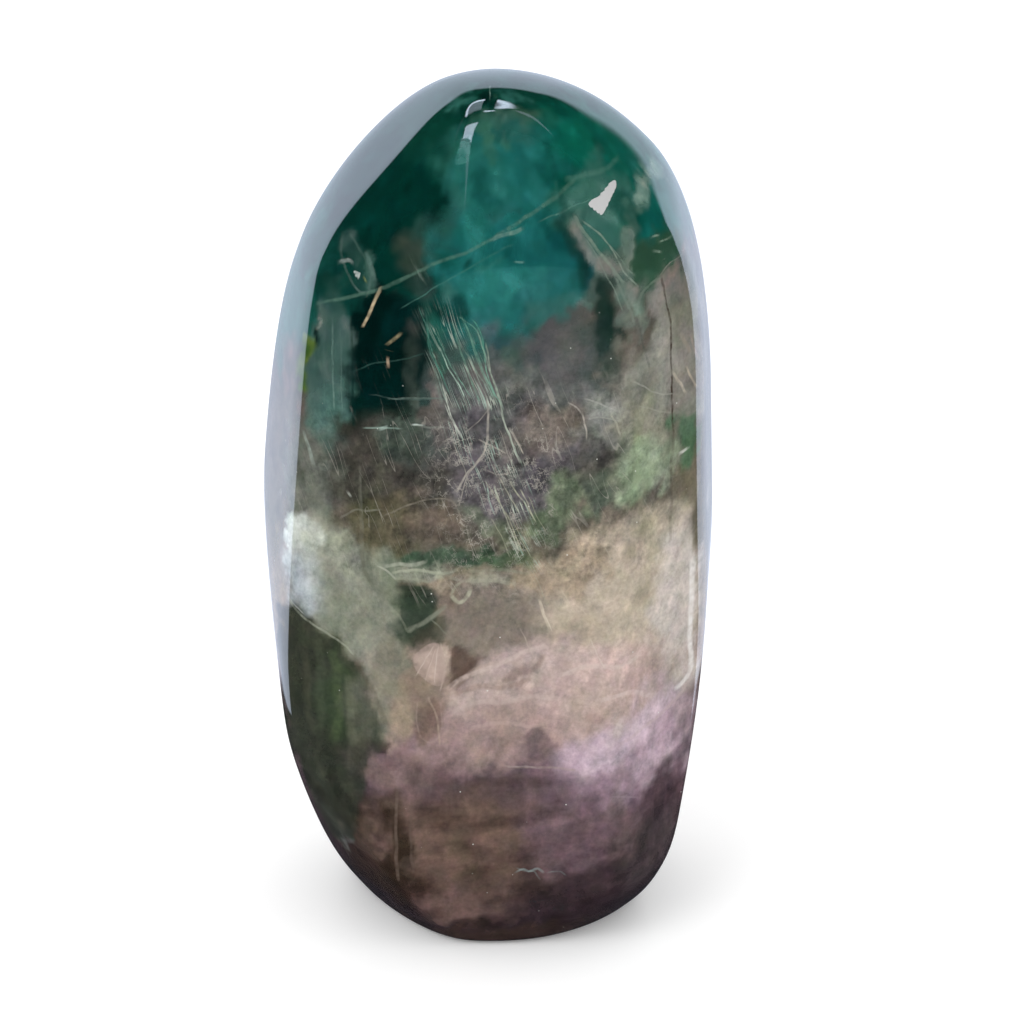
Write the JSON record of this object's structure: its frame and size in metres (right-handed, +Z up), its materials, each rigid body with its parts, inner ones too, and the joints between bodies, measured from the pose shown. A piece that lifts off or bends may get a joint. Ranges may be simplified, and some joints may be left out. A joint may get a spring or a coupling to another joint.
{
  "type": "fluorite freeform",
  "caption": "Upright polished fluorite stone with soft ground flats and a flat sawn base, for standing on a shelf or desk.",
  "frame": {"origin": "under the middle of the stone, on the surface that it stands on", "axes": "+Z up along the stone's height, -Y out of its front"},
  "size_m": [0.0518, 0.0386, 0.1],
  "materials": {
    "polished_fluorite": "polished, see-through, banded from deep green to smoky mauve"
  },
  "bodies": {
    "root": {"fluorite_freeform": "polished_fluorite"}
  },
  "joints": []
}
